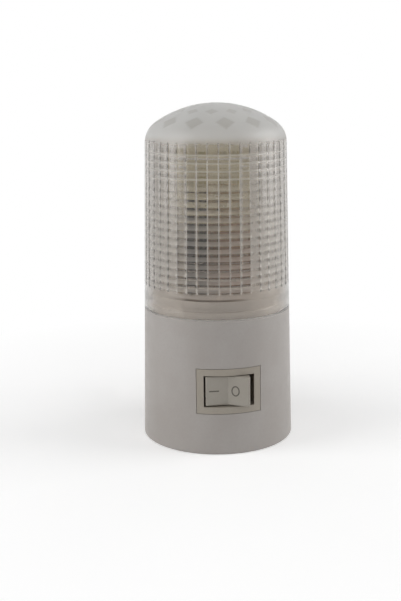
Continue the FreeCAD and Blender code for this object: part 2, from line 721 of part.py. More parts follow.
def terminal_slots(fit):
    half = TERMINAL_STEM_HEIGHT / 2 + fit
    low, high = SWITCH_HEIGHT - half, SWITCH_HEIGHT + half
    width = TERMINAL_STEM + 2 * fit
    return [bar(width, SWITCH_BASE_FRONT - CUT, -HOUSING_BACK + CUT, low, high, x) for x in (0.0, END_TERMINAL_X)]


def switch_base():
    half = OPENING_HEIGHT / 2 - CLOSE_FIT
    width = OPENING_WIDTH - 2 * CLOSE_FIT
    plate = bar(width, SWITCH_BASE_FRONT, -HOUSING_BACK, SWITCH_HEIGHT - half, SWITCH_HEIGHT + half)
    return plate.cut(terminal_slots(CLOSE_FIT))


def in_rocker(x, outward):
    """A point of the rocker's section, from the pivot, with the rocker level."""
    return (x, PIVOT_Y - outward)


def tilted(shape, angle, y):
    turned = shape.copy()
    turned.rotate(V(0, y, SWITCH_HEIGHT), Z_AXIS, angle)
    return turned


def rocker_face_height():
    return PIVOT_TO_VALLEY + ROCKER_LENGTH / 2 * math.tan(math.radians(ROCKER_TILT))


def rocker_blank():
    half = ROCKER_LENGTH / 2
    edge = rocker_face_height()
    floor = -PIVOT_DIAMETER / 2 - ROCKER_KEEL
    right = [(half, edge), (half - ROCKER_ROUND, ROCKER_WAIST), (half / 2, floor)]
    points = [(0, PIVOT_TO_VALLEY)] + right + [(-x, w) for x, w in reversed(right)]
    low = SWITCH_HEIGHT - ROCKER_HEIGHT / 2
    blank = prism([in_rocker(x, w) for x, w in points], low, ROCKER_HEIGHT)
    front = PIVOT_Y - PIVOT_TO_VALLEY
    sloping = ROCKER_LENGTH / 3

    def on_face(e):
        limits = e.BoundBox
        long_side = limits.XLength > sloping and limits.YMax < front + FIT
        end = limits.ZLength > ROCKER_HEIGHT - FIT and limits.YMax < PIVOT_Y - edge + FIT
        return long_side or end
    return rounded(blank, ROCKER_ROUND, on_face)


def on_half_face(shape, side):
    """Lays a shape drawn flat on the XZ plane, centred on the valley, onto one half of the rocker's face."""
    laid = shape.copy()
    laid.translate(V(0, PIVOT_Y - PIVOT_TO_VALLEY, SWITCH_HEIGHT))
    laid.rotate(V(0, PIVOT_Y - PIVOT_TO_VALLEY, 0), Z_AXIS, -side * ROCKER_TILT)
    return laid


def dash_mark(depth):
    mark = box(DASH_X - DASH_LENGTH / 2, DASH_X + DASH_LENGTH / 2, -CUT, depth, -MARK_LINE / 2, MARK_LINE / 2)
    return on_half_face(mark, -1)


def oval(width, height, depth):
    ellipse = Part.Ellipse(V(RING_MARK_X, -CUT, 0), max(width, height) / 2, min(width, height) / 2)
    ellipse.Axis = V(0, 1, 0)
    ellipse.XAxis = Z_AXIS if height > width else V(1, 0, 0)
    return Part.Face(Part.Wire(ellipse.toShape())).extrude(V(0, CUT + depth, 0))


def ring_mark(depth):
    outer = oval(RING_MARK_WIDTH, RING_MARK_HEIGHT, depth)
    inner = oval(RING_MARK_WIDTH - 2 * MARK_LINE, RING_MARK_HEIGHT - 2 * MARK_LINE, depth + CUT)
    return on_half_face(outer.cut(inner), 1)


def plunger_rod(radius, outer_end, inner_end):
    """A round bar along the plunger's line, between two distances inside the pivot."""
    return rod(radius, 0, SWITCH_HEIGHT, PIVOT_Y + outer_end, PIVOT_Y + inner_end)


def rocker():
    blank = rocker_blank()
    length = ROCKER_HEIGHT + 2 * PIVOT_REACH
    stub = Part.makeCylinder(PIVOT_DIAMETER / 2, length, V(0, PIVOT_Y, SWITCH_HEIGHT - length / 2), Z_AXIS)
    blank = joined(blank, [stub, plunger_rod(GUIDE_DIAMETER / 2, 0, GUIDE_BOTTOM)])
    bore = plunger_rod(PLUNGER_DIAMETER / 2 + PLUNGER_BORE_FIT, -PLUNGER_BORE_TOP, GUIDE_BOTTOM + CUT)
    blank = blank.cut([bore, dash_mark(MARK_DEPTH), ring_mark(MARK_DEPTH)])
    return tilted(blank, -ROCKER_TILT, PIVOT_Y)


def rocker_marks():
    """The filled marks, a hair below the rocker's face."""
    slab = box(-BODY_DIAMETER, BODY_DIAMETER, -2 * CUT, MARK_SINK, -BODY_DIAMETER, BODY_DIAMETER)
    above = [on_half_face(slab, side) for side in (-1, 1)]
    dash = dash_mark(MARK_DEPTH).cut(above[0])
    ring = ring_mark(MARK_DEPTH).cut(above[1])
    return tilted(Part.makeCompound([dash, ring]), -ROCKER_TILT, PIVOT_Y)


def plunger():
    radius = PLUNGER_DIAMETER / 2
    body = plunger_rod(radius, PLUNGER_TOP, PLUNGER_TIP - radius)
    tip = Part.makeSphere(radius, V(0, PIVOT_Y + PLUNGER_TIP - radius, SWITCH_HEIGHT))
    return tilted(joined(body, [tip]), -ROCKER_TILT, PIVOT_Y)


def plunger_spring():
    outer = PLUNGER_DIAMETER / 2
    coil = plunger_rod(outer, -PLUNGER_BORE_TOP, PLUNGER_TOP)
    hollow = plunger_rod(outer - SPRING_WALL, -PLUNGER_BORE_TOP - CUT, PLUNGER_TOP + CUT)
    return tilted(coil.cut(hollow), -ROCKER_TILT, PIVOT_Y)


def contact_lever():
    half = LEVER_THICKNESS / 2
    wide = LEVER_WIDTH / 2
    strip = bar(LEVER_LENGTH, LEVER_Y - half, LEVER_Y + half, SWITCH_HEIGHT - wide, SWITCH_HEIGHT + wide)
    ears = []
    for side in (-1, 1):
        outer = SWITCH_HEIGHT + side * (wide + LEVER_EAR)
        inner = SWITCH_HEIGHT + side * (TERMINAL_STEM_HEIGHT / 2 + FIT)
        low, high = min(outer, inner), max(outer, inner)
        ears.append(bar(LEVER_EAR_LENGTH, LEVER_Y - half, LEVER_Y + LEVER_EAR_DEPTH, low, high))
    return tilted(joined(strip, ears), LEVER_TILT, LEVER_Y)


def moving_contact():
    under = LEVER_Y + LEVER_THICKNESS / 2
    return tilted(rod(CONTACT_DIAMETER / 2, CONTACT_X, SWITCH_HEIGHT, under, under + CONTACT_THICKNESS),
                  LEVER_TILT, LEVER_Y)


def terminal_tab(x):
    half = TAB_THICKNESS / 2
    return bar(TAB_WIDTH, -HOUSING_BACK, TAB_END, SWITCH_HEIGHT - half, SWITCH_HEIGHT + half, x)


def terminal_stem(x, front):
    half = TERMINAL_STEM_HEIGHT / 2
    return bar(TERMINAL_STEM, front, -HOUSING_BACK + TAB_THICKNESS, SWITCH_HEIGHT - half, SWITCH_HEIGHT + half, x)


def centre_terminal():
    top = LEVER_Y + LEVER_THICKNESS / 2 + FULCRUM_GAP
    return joined(terminal_stem(0.0, top), [terminal_tab(0.0)])


def end_terminal():
    half = LEVER_WIDTH / 2
    front = SWITCH_BASE_FRONT - TERMINAL_STRIP
    strip = bar(TAB_WIDTH, front, SWITCH_BASE_FRONT, SWITCH_HEIGHT - half, SWITCH_HEIGHT + half, END_TERMINAL_X)
    return joined(strip, [terminal_stem(END_TERMINAL_X, front), terminal_tab(END_TERMINAL_X)])


def fixed_contact():
    tilt = math.radians(LEVER_TILT)
    drop = LEVER_THICKNESS / 2 + CONTACT_THICKNESS
    x = CONTACT_X * math.cos(tilt) - drop * math.sin(tilt)
    meeting = LEVER_Y + CONTACT_X * math.sin(tilt) + drop * math.cos(tilt)
    return rod(CONTACT_DIAMETER / 2, x, SWITCH_HEIGHT, meeting + CONTACT_GAP, SWITCH_BASE_FRONT - TERMINAL_STRIP)


# Internal leads


def wire(points):
    """A round lead along straight runs joined by tangent arcs."""
    edges = []
    here = points[0]
    for before, corner, after in zip(points, points[1:], points[2:]):
        run = min((corner - before).Length, (after - corner).Length)
        into = (corner - before).normalize()
        out = (after - corner).normalize()
        turn = into.getAngle(out)
        setback = WIRE_BEND_SHARE * run
        radius = setback / math.tan(turn / 2)
        start = corner - into * setback
        end = corner + out * setback
        toward = (out - into).normalize()
        centre = corner + toward * (radius / math.cos(turn / 2))
        middle = centre - toward * radius
        edges += [Part.makeLine(here, start), Part.Arc(start, middle, end).toShape()]
        here = end
    edges.append(Part.makeLine(here, points[-1]))
    path = Part.Wire(edges)
    direction = (points[1] - points[0]).normalize()
    section = Part.Wire(Part.makeCircle(WIRE_DIAMETER / 2, points[0], direction))
    solid = path.makePipeShell([section], True, False)
    expected = path.Length * math.pi * WIRE_DIAMETER ** 2 / 4
    assert abs(solid.Volume / expected - 1) < 0.01
    return solid


def live_lead():
    x = -PIN_SPACING / 2
    y = PIN_INNER_END + TERMINAL_DEPTH / 2
    return wire([
        V(x, y, PLUG_HEIGHT + TERMINAL_BLOCK / 2),
        V(x, y, LIVE_WIRE_TOP),
        V(0, WIRE_TAB_Y, LIVE_WIRE_TOP),
        V(0, WIRE_TAB_Y, SWITCH_HEIGHT + TAB_THICKNESS / 2),
    ])


def switched_lead():
    return wire([
        V(END_TERMINAL_X, WIRE_TAB_Y, SWITCH_HEIGHT + TAB_THICKNESS / 2),
        V(END_TERMINAL_X, WIRE_TAB_Y, BOARD_WIRE_HEIGHT),
        V(END_TERMINAL_X, BOARD_FRONT, BOARD_WIRE_HEIGHT),
    ])


def neutral_lead():
    x = PIN_SPACING / 2
    y = PIN_INNER_END + TERMINAL_DEPTH / 2
    return wire([
        V(x, y, PLUG_HEIGHT + TERMINAL_BLOCK / 2),
        V(x, y, BOARD_WIRE_HEIGHT),
        V(TAIL_WIDTH / 2, y, BOARD_WIRE_HEIGHT),
    ])


def main():
    save("front_shell", front_shell())
    save("rear_cover", rear_cover())
    save("cover_screws", Part.makeCompound([cover_screw(z) for z in SCREW_HEIGHTS]))
    for x, name in pin_sites():
        save("plug_pin_" + name, plug_pin(x))
    save("pin_sleeves", Part.makeCompound([pin_sleeve(x) for x, _ in pin_sites()]))
    save("pin_retainers", Part.makeCompound([pin_retainer(x) for x, _ in pin_sites()]))
    save("pin_terminals", Part.makeCompound([pin_terminal(x) for x, _ in pin_sites()]))
    save("lamp_deck", lamp_deck())
    save("lens_cover", lens_cover())
    save("circuit_board", circuit_board())
    save("led_bodies", Part.makeCompound([led_body(x, z) for x, z in led_sites()]))
    save("led_windows", Part.makeCompound([led_window(x, z) for x, z in led_sites()]))
    save("film_capacitor", film_capacitor())
    save("electrolytic_capacitor", electrolytic_capacitor())
    save("series_resistor", resistor(SERIES_HEIGHT))
    save("bleed_resistor", resistor(BLEED_HEIGHT))
    save("component_leads", component_leads())
    save("bridge_rectifier", bridge_rectifier())
    save("switch_housing", switch_housing())
    save("switch_base", switch_base())
    save("rocker", rocker())
    save("rocker_marks", rocker_marks())
    save("plunger", plunger())
    save("plunger_spring", plunger_spring())
    save("contact_lever", contact_lever())
    save("moving_contact", moving_contact())
    save("centre_terminal", centre_terminal())
    save("end_terminal", end_terminal())
    save("fixed_contact", fixed_contact())
    save("live_lead", live_lead())
    save("switched_lead", switched_lead())
    save("neutral_lead", neutral_lead())


main()
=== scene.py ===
import math

import bpy
import numpy as np
from mathutils import Matrix, Vector


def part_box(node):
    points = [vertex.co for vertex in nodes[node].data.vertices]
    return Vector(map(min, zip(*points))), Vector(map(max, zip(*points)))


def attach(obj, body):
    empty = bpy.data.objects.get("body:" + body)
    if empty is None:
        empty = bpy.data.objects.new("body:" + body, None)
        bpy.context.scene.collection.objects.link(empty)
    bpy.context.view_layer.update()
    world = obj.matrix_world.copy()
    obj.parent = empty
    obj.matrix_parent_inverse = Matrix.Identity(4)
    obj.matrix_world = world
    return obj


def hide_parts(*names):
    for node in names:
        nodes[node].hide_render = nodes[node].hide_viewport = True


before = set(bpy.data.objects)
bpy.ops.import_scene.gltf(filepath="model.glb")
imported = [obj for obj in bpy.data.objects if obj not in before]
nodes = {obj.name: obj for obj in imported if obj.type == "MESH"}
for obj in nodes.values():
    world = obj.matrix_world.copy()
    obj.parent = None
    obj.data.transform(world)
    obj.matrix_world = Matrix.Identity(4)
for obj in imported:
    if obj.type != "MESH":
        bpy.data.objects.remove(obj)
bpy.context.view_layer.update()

MM = 0.001

# Places read from the frame, in metres
base_low, base_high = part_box("front_shell")
_, lens_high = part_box("lens_cover")
_, deck_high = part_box("lamp_deck")
UNDERSIDE = base_low.z
APEX = lens_high.z
BASE_RADIUS = base_high.x
AXIS_Y = base_low.y + BASE_RADIUS
FLAT = lens_high.y - AXIS_Y
TAPER = (base_high.x - lens_high.x) / (base_high.z - UNDERSIDE)

# Heights of the lens cover, above the underside
FOOT = base_high.z - UNDERSIDE
NECK_TOP = deck_high.z - UNDERSIDE
PRISM_START = 37.4 * MM
DOME_START = 70.0 * MM
DOME_SHOULDER = 5.8 * MM
WALL = 1.5 * MM

# Level ribs inside the lens cover
RING_PITCH = 1.76 * MM
RING_COUNT = 18
RING_DEPTH = 0.3 * MM
RING_TOP = PRISM_START + RING_COUNT * RING_PITCH
# The crests of the top rings are frost with a painted highlight
HIGHLIGHT_RINGS = 4
RIB_LOWERED = 0.6

# Upright flutes outside it, in degrees around the axis: shallower and narrower than in the CAD model
FLUTE_STEP = 8.4
FLUTE_PHASE = 1.2
FLUTE_LIMIT = 132.0
FLUTE_OFFSETS = (0.0, 0.35, 0.7, 1.05, 2.8)
FLUTE_DEPTH = 0.24 * MM
FLUTE_HALF_WIDTH = 0.29 * MM
FLUTE_ROUNDING = 0.4
FLUTE_END = 71.0 * MM
FLUTE_END_FADE = 0.2 * MM

# The snap rib in its foot and the diamonds on its dome, both shallower than in the CAD model.
# Each row of diamonds has its distance from the axis, the diamonds' side and its turn in degrees.
SNAP_HEIGHT = 33.6 * MM
SNAP_DEPTH = 0.08 * MM
SNAP_HALF = 0.4 * MM
SNAP_SLOPE = 1.6
LOWER_DIAMONDS = (13.2 * MM, 3.3 * MM, 0.0)
UPPER_DIAMONDS = (8.8 * MM, 2.3 * MM, 15.0)
DIAMOND_STEP = 30.0
DIAMOND_DEPTH = 0.18 * MM
DIAMOND_EDGE = 0.45 * MM
DOME_CURVE = 22 * MM

# The lens mesh: its edges, where its plain stretches have rows, and how many rows and columns they have
CORNER_BLEND = 0.8 * MM
FOOT_BEVEL = 0.2 * MM
NECK_EDGE = 0.2 * MM
ROW_BELOW_FLUTES = 0.05 * MM
ROW_ABOVE_FOOT = 2 * MM
FIRST_WALL_ROW = 2 * MM
LAST_WALL_ROW = 1 * MM
FLUTE_END_ROW = 0.07 * MM
FLUTE_END_ROWS = 4
WALL_ROWS = 14
DOME_ROWS = 58
INNER_DOME_ROWS = 26
ROWS_PER_RING = 6
BACK_COLUMNS = 60
FACING_BACK = 0.05
SHARP_ANGLE = 45

# How frosted each part of the lens cover is, from 0 for clear to 1; below 0 it is painted shade instead.
# The pale grooves and the top rings' crests are frost with a painted highlight.
DOME_FROST = 0.8
DOME_FROST_START = 69.2 * MM
DOME_FROST_FADE = 3.4 * MM
DIAMOND_CLEARED = 0.15
FOOT_EDGE = 0.3 * MM
FOOT_FROST = 0.9
SKIRT_FROST = 0.12
# The grooves over the face are frost with a painted highlight; beside it, and above the rings, they get
# painted shade
GROOVE_HIGHLIGHT_FROST = 0.7
GROOVE_SHADE = -1.0
RING_HIGHLIGHT_FROST = 1.0
RIB_FROST = 0.5
RIB_FROST_HIGH = 0.25
VALLEY_SHADE = -0.9
VALLEY_SHADE_FACE = -0.8

# How far those lines reach from a groove, where the face lies, and where clouds and shades fade upwards
LINE_HALF = 0.17 * MM
DASH_HALF = 0.42 * MM
SHADE_HALF = 0.4 * MM
FACE_MIDDLE = -12.0
FACE_HALF = 28.0
FACE_FADE = 9.0
CLOUD_TOP = 61 * MM
CLOUD_FADE = 10 * MM
SHADE_TOP = 56 * MM
SHADE_FADE = 15 * MM

# Moulded plastic: the sizes of its uneven tone, specks, changes of gloss and grain, how deep the grain is,
# and how dark a speck is beside the dull colour
PLASTIC_PATCH = 9 * MM
PLASTIC_SPECK = 0.5 * MM
PLASTIC_SHEEN = 2.5 * MM
PLASTIC_GRAIN = 0.12 * MM
PLASTIC_GRAIN_DEPTH = 0.01 * MM
SPECK_DARKER = 0.93

# Metal: the sizes of its uneven tone and scratches, and how deep the scratches are
METAL_PATCH = 2.2 * MM
METAL_SCRATCH = 0.3 * MM
METAL_SCRATCH_DEPTH = 0.004 * MM

# Clear plastic: its colours, its roughness from clear to frosted, and the frost at which it turns milky
LENS_TINT = (200, 196, 191)
LENS_SHADE = (70, 63, 56)
LENS_MILKY = (224, 224, 222)
LENS_POCKET = (199, 199, 195)
LENS_IOR = 1.49
POLISHED = 0.15
MATT = 0.5
MILK_START = 0.4
MILK_FULL = 0.8
FROSTED_TRANSMISSION = 0.55
# How the painted shade is laid on in dashes: its share at the crests, where it fades within a rib, and its
# fade above the top rib
CREST_SHADE = 0.25
DASH_NEAR = 0.2
DASH_FAR = 0.35
DASH_TOP_FADE = 0.1 * MM
LENS_HAZE = 2 * MM
LENS_WAVE = 1.5 * MM
LENS_WAVE_DEPTH = 0.01 * MM

# The painted brown shade on the deck's top, in front of the circuit board, and the board's change of
# colour
DECK_SHADE_COLOUR = (112, 96, 82)
DECK_SHADE_X = 3.5 * MM
DECK_SHADE_HALF = 4.5 * MM
DECK_SHADE_OUTER_HALF = 9 * MM
DECK_SHADE_INSIDE = 12.6 * MM
DECK_SHADE_OUTSIDE = 13.8 * MM
LACQUER_START = 40 * MM
LACQUER_FULL = 56 * MM
FIBRE_SIZE = 0.8 * MM
FIBRE_DEPTH = 0.01 * MM
FIBRE_STRETCH = (1.0, 1.0, 0.25)
LACQUER_SHEEN = 2 * MM

# Floor, lamps and world. The glow is what the floor adds for rays that show the background.
FLOOR_HALF = 4.0
FLOOR_PATCH = 0.05
FLOOR_GLOW = 0.25
FLOOR_FADE_START = 0.03
FLOOR_FADE_END = 0.12
SIDE_LAMP_OUT = 0.42
SIDE_LAMP_FORWARD = 0.06
SIDE_LAMP_HEIGHT = 0.18
SIDE_LAMP_SIZE = (0.3, 0.45)
LAMP_AIM = 40 * MM
WORLD_LIGHT = 0.34
WHITE = (1.0, 1.0, 1.0, 1.0)

# Camera, as the photograph was taken: angles in degrees, and the photograph's own measures in pixels
CAMERA_DISTANCE = 243 * MM
CAMERA_HEIGHT = 87.6 * MM
CAMERA_AZIMUTH = 9.0
CAMERA_PITCH = 12.8
CAMERA_ROLL = -0.65
FOCAL_PIXELS = 1038
PHOTO_LONG_SIDE = 601
PHOTO_MIDDLE_X = 200.5
LAMP_AXIS_X = 217.3
SENSOR = 36.0
NEAREST_SEEN = 0.01


def place_in_scene(name, data):
    thing = bpy.data.objects.new(name, data)
    bpy.context.scene.collection.objects.link(thing)
    return thing


def add_camera():
    turn = math.radians(CAMERA_AZIMUTH)
    pan = math.atan((LAMP_AXIS_X - PHOTO_MIDDLE_X) / FOCAL_PIXELS)
    pitch = math.radians(CAMERA_PITCH)
    roll = math.radians(CAMERA_ROLL)
    place = Vector((
        -CAMERA_DISTANCE * math.sin(turn),
        AXIS_Y - CAMERA_DISTANCE * math.cos(turn),
        UNDERSIDE + CAMERA_HEIGHT,
    ))
    heading = turn - pan
    level = math.cos(pitch)
    forward = Vector((math.sin(heading) * level, math.cos(heading) * level, -math.sin(pitch)))
    side = Vector((math.cos(heading), -math.sin(heading), 0.0))
    up = side.cross(forward)
    right = side * math.cos(roll) + up * math.sin(roll)
    up = up * math.cos(roll) - side * math.sin(roll)
    data = bpy.data.cameras.new("camera")
    data.sensor_width = SENSOR
    data.lens = FOCAL_PIXELS / PHOTO_LONG_SIDE * SENSOR
    data.clip_start = NEAREST_SEEN
    camera = place_in_scene("camera", data)
    camera.matrix_world = Matrix((
        (right.x, up.x, -forward.x, place.x),
        (right.y, up.y, -forward.y, place.y),
        (right.z, up.z, -forward.z, place.z),
        (0, 0, 0, 1),
    ))
    bpy.context.scene.camera = camera


# Material helpers


def new_material(name):
    material = bpy.data.materials.new(name)
    material.use_nodes = True
    tree = material.node_tree
    tree.nodes.clear()
    shader = tree.nodes.new("ShaderNodeBsdfPrincipled")
    output = tree.nodes.new("ShaderNodeOutputMaterial")
    tree.links.new(shader.outputs["BSDF"], output.inputs["Surface"])
    return material, tree, shader, output


def linear(red, green, blue):
    """An 8-bit sRGB colour as linear numbers with alpha."""
    out = []
    for value in (red, green, blue):
        v = value / 255
        out.append(v / 12.92 if v <= 0.04045 else ((v + 0.055) / 1.055) ** 2.4)
    return out + [1.0]


def feed(tree, value, socket):
    """Links another node's output to a socket, or sets the socket to a number or colour."""
    if isinstance(value, bpy.types.NodeSocket):
        tree.links.new(value, socket)
    else:
        socket.default_value = value


def place_input(tree):
    return tree.nodes.new("ShaderNodeTexCoord").outputs["Object"]


def split(tree, vector):
    """A vector's X, Y and Z, by name."""
    node = tree.nodes.new("ShaderNodeSeparateXYZ")
    tree.links.new(vector, node.inputs["Vector"])
    return node.outputs


def calculate(tree, operation, *values):
    node = tree.nodes.new("ShaderNodeMath")
    node.operation = operation
    for value, socket in zip(values, node.inputs):
        feed(tree, value, socket)
    return node.outputs["Value"]


def distance_from(tree, point):
    node = tree.nodes.new("ShaderNodeVectorMath")
    node.operation = "DISTANCE"
    node.inputs[1].default_value = point
    tree.links.new(place_input(tree), node.inputs[0])
    return node.outputs["Value"]


def attribute(tree, name):
    node = tree.nodes.new("ShaderNodeAttribute")
    node.attribute_name = name
    return node.outputs["Fac"]


def noise(tree, size, detail=2.0, rough=0.5, stretch=None):
    """Noise whose features are about this size, in metres."""
    node = tree.nodes.new("ShaderNodeTexNoise")
    node.inputs["Scale"].default_value = 1 / size
    node.inputs["Detail"].default_value = detail
    node.inputs["Roughness"].default_value = rough
    where = place_input(tree)
    if stretch:
        mapping = tree.nodes.new("ShaderNodeMapping")
        mapping.inputs["Scale"].default_value = stretch
        tree.links.new(where, mapping.inputs["Vector"])
        where = mapping.outputs["Vector"]
    tree.links.new(where, node.inputs["Vector"])
    return node.outputs["Fac"]


def remap(tree, value, low, high, start=0.3, end=0.7):
    """Runs from low to high while the value goes from start to end, which suit noise when left out."""
    node = tree.nodes.new("ShaderNodeMapRange")
    node.inputs["From Min"].default_value = start
    node.inputs["From Max"].default_value = end
    node.inputs["To Min"].default_value = low
    node.inputs["To Max"].default_value = high
    tree.links.new(value, node.inputs["Value"])
    return node.outputs["Result"]


def blend_colours(tree, factor, first, second):
    node = tree.nodes.new("ShaderNodeMix")
    node.data_type = "RGBA"
    tree.links.new(factor, node.inputs["Factor"])
    feed(tree, first, node.inputs[6])
    feed(tree, second, node.inputs[7])
    return node.outputs[2]


def mix_shaders(tree, factor, first, second, output):
    mix = tree.nodes.new("ShaderNodeMixShader")
    tree.links.new(factor, mix.inputs["Fac"])
    tree.links.new(first, mix.inputs[1])
    tree.links.new(second, mix.inputs[2])
    tree.links.new(mix.outputs["Shader"], output.inputs["Surface"])


def bump(tree, shader, height, strength, distance):
    node = tree.nodes.new("ShaderNodeBump")
    node.inputs["Strength"].default_value = strength
    node.inputs["Distance"].default_value = distance
    tree.links.new(height, node.inputs["Height"])
    tree.links.new(node.outputs["Normal"], shader.inputs["Normal"])


def moulded(name, pale, dull, roughness=0.42, painted_shade=None):
    """Moulded plastic: slow uneven tone, spark-eroded grain, small changes of gloss and any painted shade
    laid over it.
    """
    material, tree, shader, _ = new_material(name)
    dull = linear(*dull)
    tone = remap(tree, noise(tree, PLASTIC_PATCH, 3.0), 0.0, 1.0)
    mottled = blend_colours(tree, tone, linear(*pale), dull)
    speck = remap(tree, noise(tree, PLASTIC_SPECK, 3.0), 0.0, 0.35, 0.45, 0.8)
    shade = [c * SPECK_DARKER for c in dull[:3]] + [1.0]
    colour = blend_colours(tree, speck, mottled, shade)
    # painted shade, where one is given, goes over the plastic's colour
    if painted_shade:
        colour = painted_shade(tree, colour)
    tree.links.new(colour, shader.inputs["Base Color"])
    gloss = remap(tree, noise(tree, PLASTIC_SHEEN, 4.0), roughness - 0.06, roughness + 0.08)
    tree.links.new(gloss, shader.inputs["Roughness"])
    bump(tree, shader, noise(tree, PLASTIC_GRAIN, 2.0), 0.25, PLASTIC_GRAIN_DEPTH)
    return material


def metal(name, pale, dull, roughness=0.22, stretch=None):
    """Metal: slow uneven tone and fine scratches, which may be stretched along one way."""
    material, tree, shader, _ = new_material(name)
    tone = remap(tree, noise(tree, METAL_PATCH, 3.0), 0.0, 1.0)
    colour = blend_colours(tree, tone, linear(*pale), linear(*dull))
    tree.links.new(colour, shader.inputs["Base Color"])
    shader.inputs["Metallic"].default_value = 1.0
    fine = noise(tree, METAL_SCRATCH, 4.0, 0.6, stretch)
    tree.links.new(remap(tree, fine, roughness * 0.7, roughness * 1.5), shader.inputs["Roughness"])
    bump(tree, shader, fine, 0.2, METAL_SCRATCH_DEPTH)
    return material


# Lens cover


def radius_at(height):
    """The body's outer radius at a height above the underside."""
    return BASE_RADIUS - height * TAPER


def dome_profile(inset, count):
    """Points (radius, height) up the dome, from its rim to the axis: a shoulder arc, then the crown's."""
    rim = radius_at(DOME_START)
    rise = APEX - UNDERSIDE - DOME_START
    crown = (rim ** 2 + rise ** 2 - 2 * rim * DOME_SHOULDER) / (2 * (rise - DOME_SHOULDER))
    shoulder_x = rim - DOME_SHOULDER
    crown_z = DOME_START + rise - crown
    lift = math.atan2(DOME_START - crown_z, shoulder_x)
    first = DOME_SHOULDER * lift
    second = crown * (math.pi / 2 - lift)
    points = []
    for step in range(count + 1):
        along = (first + second) * step / count
        if along < first:
            angle = along / DOME_SHOULDER
            r = DOME_SHOULDER - inset
            points.append((shoulder_x + r * math.cos(angle), DOME_START + r * math.sin(angle)))
        else:
            angle = lift + (along - first) / crown
            r = crown - inset
            points.append((r * math.cos(angle), crown_z + r * math.sin(angle)))
    return points


def smooth_step(x):
    x = np.clip(x, 0.0, 1.0)
    return x * x * (3 - 2 * x)


def smooth_min(a, b, width):
    h = np.clip(0.5 + 0.5 * (b - a) / width, 0.0, 1.0)
    return b * (1 - h) + a * h - width * h * (1 - h)


def nearest_turn(degrees, middle, step):
    """How far each angle lies from the nearest of the angles that repeat at this step."""
    return (degrees - middle + step / 2) % step - step / 2


def lens_angles():
    """Angles around the lens, close together at each groove and wider over the flat back."""
    steps = int((FLUTE_LIMIT - FLUTE_PHASE) / FLUTE_STEP)
    offsets = {side * offset for offset in FLUTE_OFFSETS for side in (-1, 1)}
    offsets = sorted(offsets | {FLUTE_STEP / 2})
    grooves = [FLUTE_PHASE + FLUTE_STEP * k for k in range(-steps, steps + 1)]
    front = [groove + offset for groove in grooves for offset in offsets]
    low = front[0] - FLUTE_STEP / 4
    high = front[-1]
    gap = low + 360 - high
    back = high + gap * np.arange(1, BACK_COLUMNS + 1) / (BACK_COLUMNS + 1)
    return np.concatenate([front, back]), low, high


def cut_flat(radius, angle, inset):
    """A round section's radius, brought in to the flat back where the angle points there."""
    toward = -np.cos(angle)
    flat = np.where(toward > FACING_BACK, (FLAT - inset) / np.maximum(toward, FACING_BACK), 1.0)
    return smooth_min(radius, flat, CORNER_BLEND)


def groove_distance(degrees, low, high, radius):
    """The distance around the wall to the nearest groove, for the angles that have grooves."""
    away = np.abs(np.radians(nearest_turn(degrees, FLUTE_PHASE, FLUTE_STEP))) * radius
    return np.where((degrees >= low) & (degrees <= high), away, FLUTE_STEP)


def beside_face(degrees):
    """0 over the lens's face, which the circuit board lies behind, and 1 beside it."""
    turn = nearest_turn(degrees, FACE_MIDDLE, 360)
    return smooth_step((np.abs(turn) - FACE_HALF) / FACE_FADE)


def groove_line(distance, half_width):
    """1 in the bottom of a groove, and 0 from this distance outwards."""
    return np.clip(1 - distance / half_width, 0.0, 1.0)


def flute_relief(distance, height):
    """How far the outer wall lies inside its round form: rounded V grooves."""
    inward = groove_line(distance, FLUTE_HALF_WIDTH)
    below = smooth_step((height - PRISM_START) / FLUTE_END_FADE)
    above = smooth_step((FLUTE_END - height) / FLUTE_END_FADE)
    return FLUTE_DEPTH * inward * (1 - FLUTE_ROUNDING + FLUTE_ROUNDING * inward) * (below * above)


def diamond_relief(degrees, radius, along, marks):
    """The depth of the flat diamond pockets along one row of the dome, and 1 inside them."""
    depth = np.zeros_like(degrees)
    inside = np.zeros_like(degrees)
    for (_, side, offset), centre in marks:
        half = side * math.sqrt(0.5)
        across = np.radians(nearest_turn(degrees, offset, DIAMOND_STEP)) * radius
        up = along - centre
        edge = (half - np.abs(across) - abs(up)) / DIAMOND_EDGE
        fall = (across ** 2 + up ** 2) / (2 * DOME_CURVE)
        depth = np.maximum(depth, smooth_step(edge + 0.5) * np.maximum(DIAMOND_DEPTH - fall, 0.0))
        inside = np.maximum(inside, smooth_step(edge))
    return depth, inside


def lens_outer_rows():
    """Rows of (radius, height, distance up the dome or None) for the outside, from the foot upwards."""
    heights = [FOOT + FOOT_BEVEL, FOOT + 2 * FOOT_BEVEL, FOOT + ROW_ABOVE_FOOT]
    heights += [NECK_TOP - NECK_EDGE, NECK_TOP + NECK_EDGE, PRISM_START - ROW_BELOW_FLUTES]
    heights += [PRISM_START + k * FLUTE_END_ROW for k in range(FLUTE_END_ROWS)]
    heights += list(np.linspace(PRISM_START + FIRST_WALL_ROW, DOME_START - LAST_WALL_ROW, WALL_ROWS))
    rows = [(radius_at(FOOT) - FOOT_BEVEL, FOOT, None)]
    rows += [(radius_at(h), h, None) for h in heights]
    profile = dome_profile(0.0, DOME_ROWS)
    along = 0.0
    for index, (r, h) in enumerate(profile):
        if index:
            along += math.dist(profile[index - 1], (r, h))
        rows.append((r, h, along))
    return rows


def diamond_marks(rows):
    """Each row of diamonds with its distance up the dome."""
    dome = [row for row in rows if row[2] is not None]
    marks = []
    for mark in (LOWER_DIAMONDS, UPPER_DIAMONDS):
        nearest = min(dome, key=lambda row: abs(row[0] - mark[0]))
        marks.append((mark, nearest[2]))
    return marks


